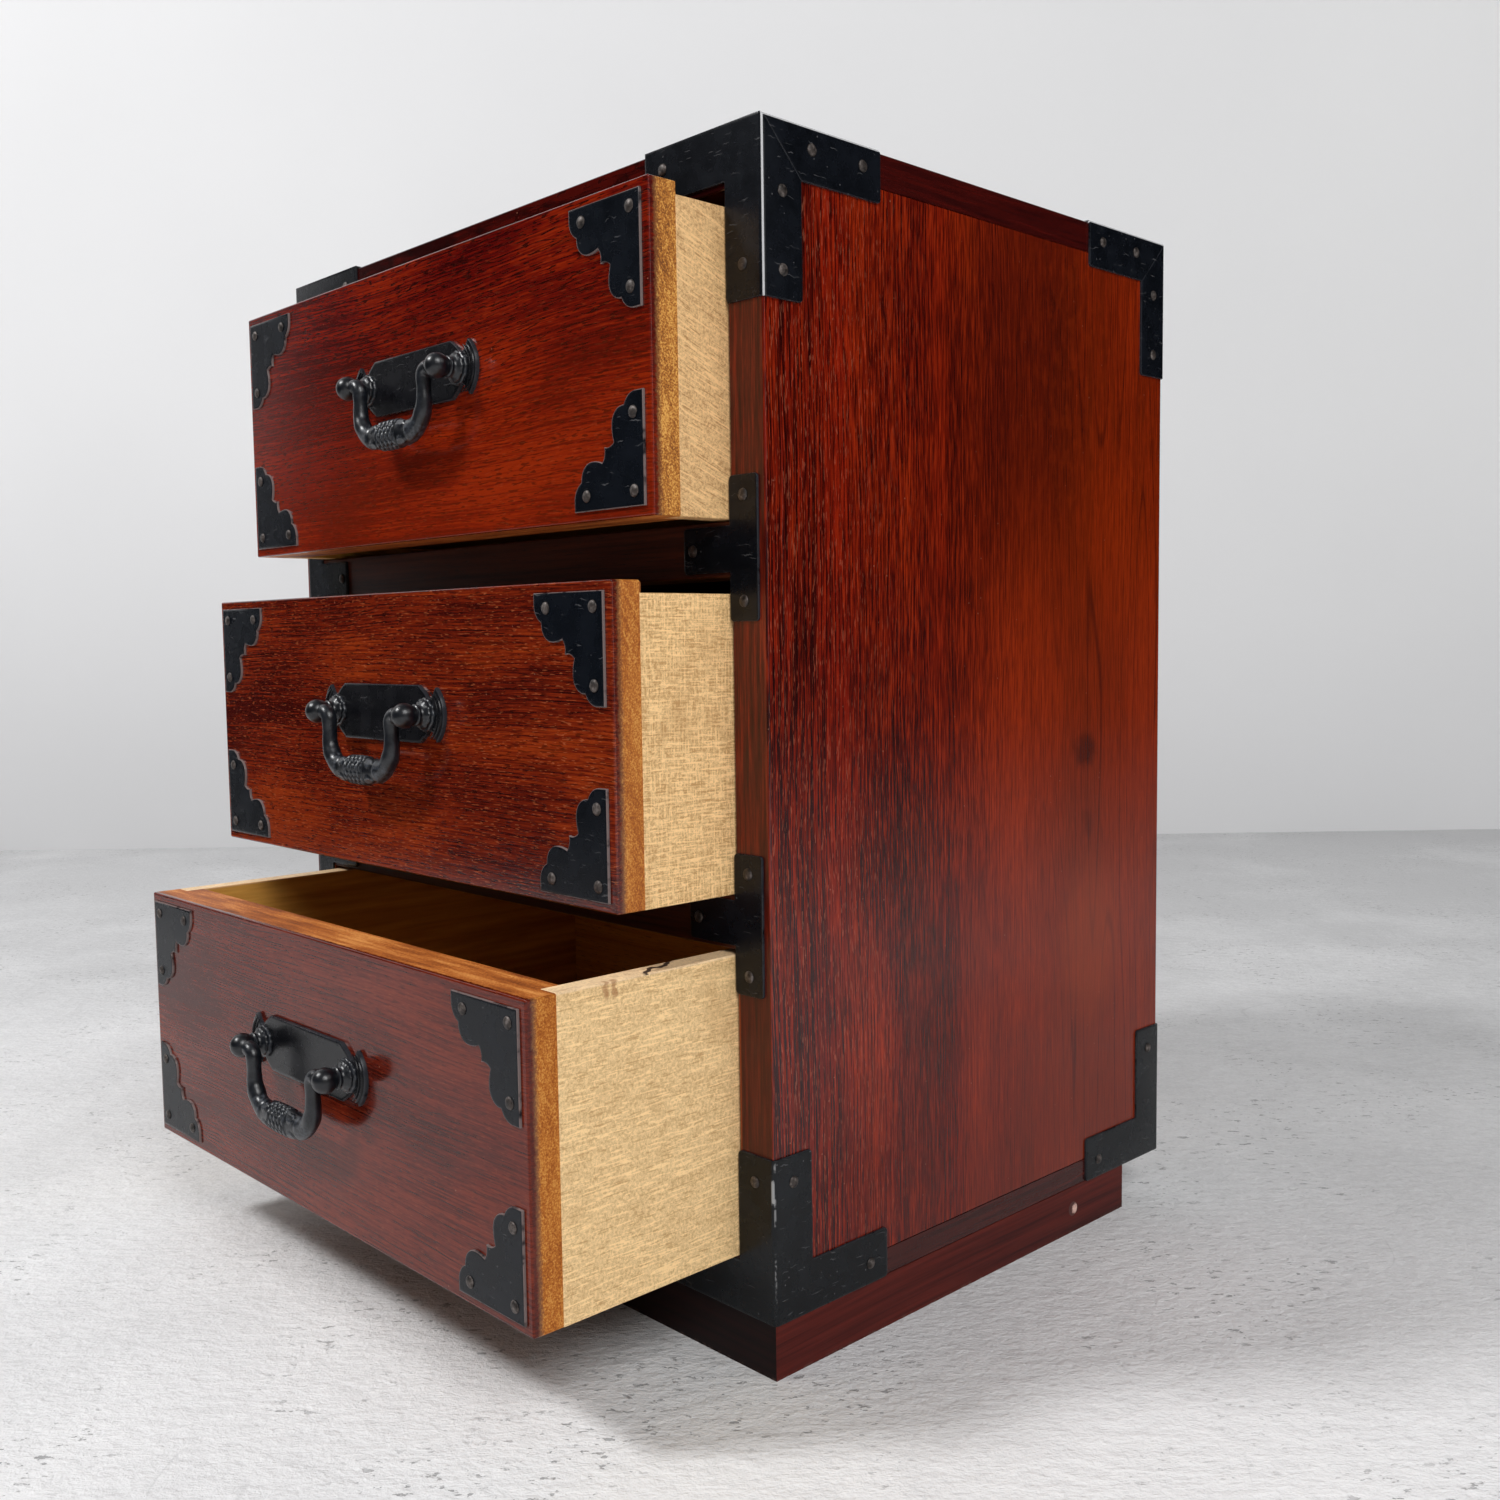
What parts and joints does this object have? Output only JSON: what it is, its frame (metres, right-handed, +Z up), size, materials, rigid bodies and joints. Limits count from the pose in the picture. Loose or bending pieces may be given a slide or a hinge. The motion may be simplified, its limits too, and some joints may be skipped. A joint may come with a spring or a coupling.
{
  "type": "small tansu chest",
  "caption": "Low lacquered wooden tabletop chest with inset drawers, folded iron corner plates, scalloped drawer plates and hanging iron handles on a low plinth.",
  "frame": {"origin": "on the floor at the middle of the chest's width, under the plinth's front board and 8 mm behind the front of the case", "axes": "+X to the right when looking at the front, +Y to the back, +Z up; drawers part way out and handles hanging"},
  "size_m": [0.2732, 0.2976, 0.3616],
  "materials": {
    "lacquered_case": "satin red-brown lacquer over upright grain",
    "lacquered_front": "satin red-brown lacquer over level grain",
    "pale_box_wood": "bare sanded pale wood",
    "plain_wood": "dark thinly stained wood",
    "plug_wood": "bare pale wood",
    "black_iron_plate": "satin blue-black paint on sheet iron",
    "handle_iron": "black cast iron, worn a little bright",
    "iron_nails": "dull grey-brown iron",
    "bright_steel": "plain steel"
  },
  "bodies": {
    "case": {"back_panel": "plain_wood", "back_panel_nails": "iron_nails", "side_right": "lacquered_case", "side_left": "lacquered_case", "top_board": "lacquered_case", "bottom_board": "lacquered_case", "rail_lower": "plain_wood", "rail_upper": "plain_wood", "drawer_runners": "plain_wood", "plinth_front": "lacquered_case", "plinth_right": "lacquered_case", "plinth_left": "lacquered_case", "plinth_cross_board": "plain_wood", "plinth_screws": "bright_steel", "plinth_plugs": "plug_wood", "top_corner_front_right": "black_iron_plate", "top_corner_front_left": "black_iron_plate", "top_corner_back_right": "black_iron_plate", "top_corner_back_left": "black_iron_plate", "bottom_corner_front_right": "black_iron_plate", "bottom_corner_front_left": "black_iron_plate", "bottom_corner_back_right": "black_iron_plate", "bottom_corner_back_left": "black_iron_plate", "rail_plates_right": "black_iron_plate", "rail_plates_left": "black_iron_plate", "case_nails": "iron_nails"},
    "drawer_lower": {"drawer_lower_front": "lacquered_front", "drawer_lower_side_right": "pale_box_wood", "drawer_lower_side_left": "pale_box_wood", "drawer_lower_back": "pale_box_wood", "drawer_lower_bottom": "pale_box_wood", "drawer_lower_corner_plates": "black_iron_plate", "drawer_lower_nails": "iron_nails", "drawer_lower_handle_plate": "handle_iron", "drawer_lower_handle_posts": "handle_iron", "drawer_lower_handle_nuts": "bright_steel"},
    "bail_lower": {"drawer_lower_bail": "handle_iron"},
    "drawer_middle": {"drawer_middle_front": "lacquered_front", "drawer_middle_side_right": "pale_box_wood", "drawer_middle_side_left": "pale_box_wood", "drawer_middle_back": "pale_box_wood", "drawer_middle_bottom": "pale_box_wood", "drawer_middle_corner_plates": "black_iron_plate", "drawer_middle_nails": "iron_nails", "drawer_middle_handle_plate": "handle_iron", "drawer_middle_handle_posts": "handle_iron", "drawer_middle_handle_nuts": "bright_steel"},
    "bail_middle": {"drawer_middle_bail": "handle_iron"},
    "drawer_upper": {"drawer_upper_front": "lacquered_front", "drawer_upper_side_right": "pale_box_wood", "drawer_upper_side_left": "pale_box_wood", "drawer_upper_back": "pale_box_wood", "drawer_upper_bottom": "pale_box_wood", "drawer_upper_corner_plates": "black_iron_plate", "drawer_upper_nails": "iron_nails", "drawer_upper_handle_plate": "handle_iron", "drawer_upper_handle_posts": "handle_iron", "drawer_upper_handle_nuts": "bright_steel"},
    "bail_upper": {"drawer_upper_bail": "handle_iron"}
  },
  "joints": [
    {"name": "drawer_lower_slide", "type": "slide", "parent": "case", "child": "drawer_lower", "axis": [0, -1, 0], "range_m": [-0.0748, 0.0752]},
    {"name": "bail_lower_hinge", "type": "hinge", "parent": "drawer_lower", "child": "bail_lower", "pos_m": [0, -0.092, 0.08585], "axis": [-1, 0, 0], "range_deg": [-15, 155]},
    {"name": "drawer_middle_slide", "type": "slide", "parent": "case", "child": "drawer_middle", "axis": [0, -1, 0], "range_m": [-0.0439, 0.1061]},
    {"name": "bail_middle_hinge", "type": "hinge", "parent": "drawer_middle", "child": "bail_middle", "pos_m": [0, -0.0611, 0.19445], "axis": [-1, 0, 0], "range_deg": [-15, 155]},
    {"name": "drawer_upper_slide", "type": "slide", "parent": "case", "child": "drawer_upper", "axis": [0, -1, 0], "range_m": [-0.0285, 0.1215]},
    {"name": "bail_upper_hinge", "type": "hinge", "parent": "drawer_upper", "child": "bail_upper", "pos_m": [0, -0.0457, 0.30305], "axis": [-1, 0, 0], "range_deg": [-15, 155]}
  ]
}
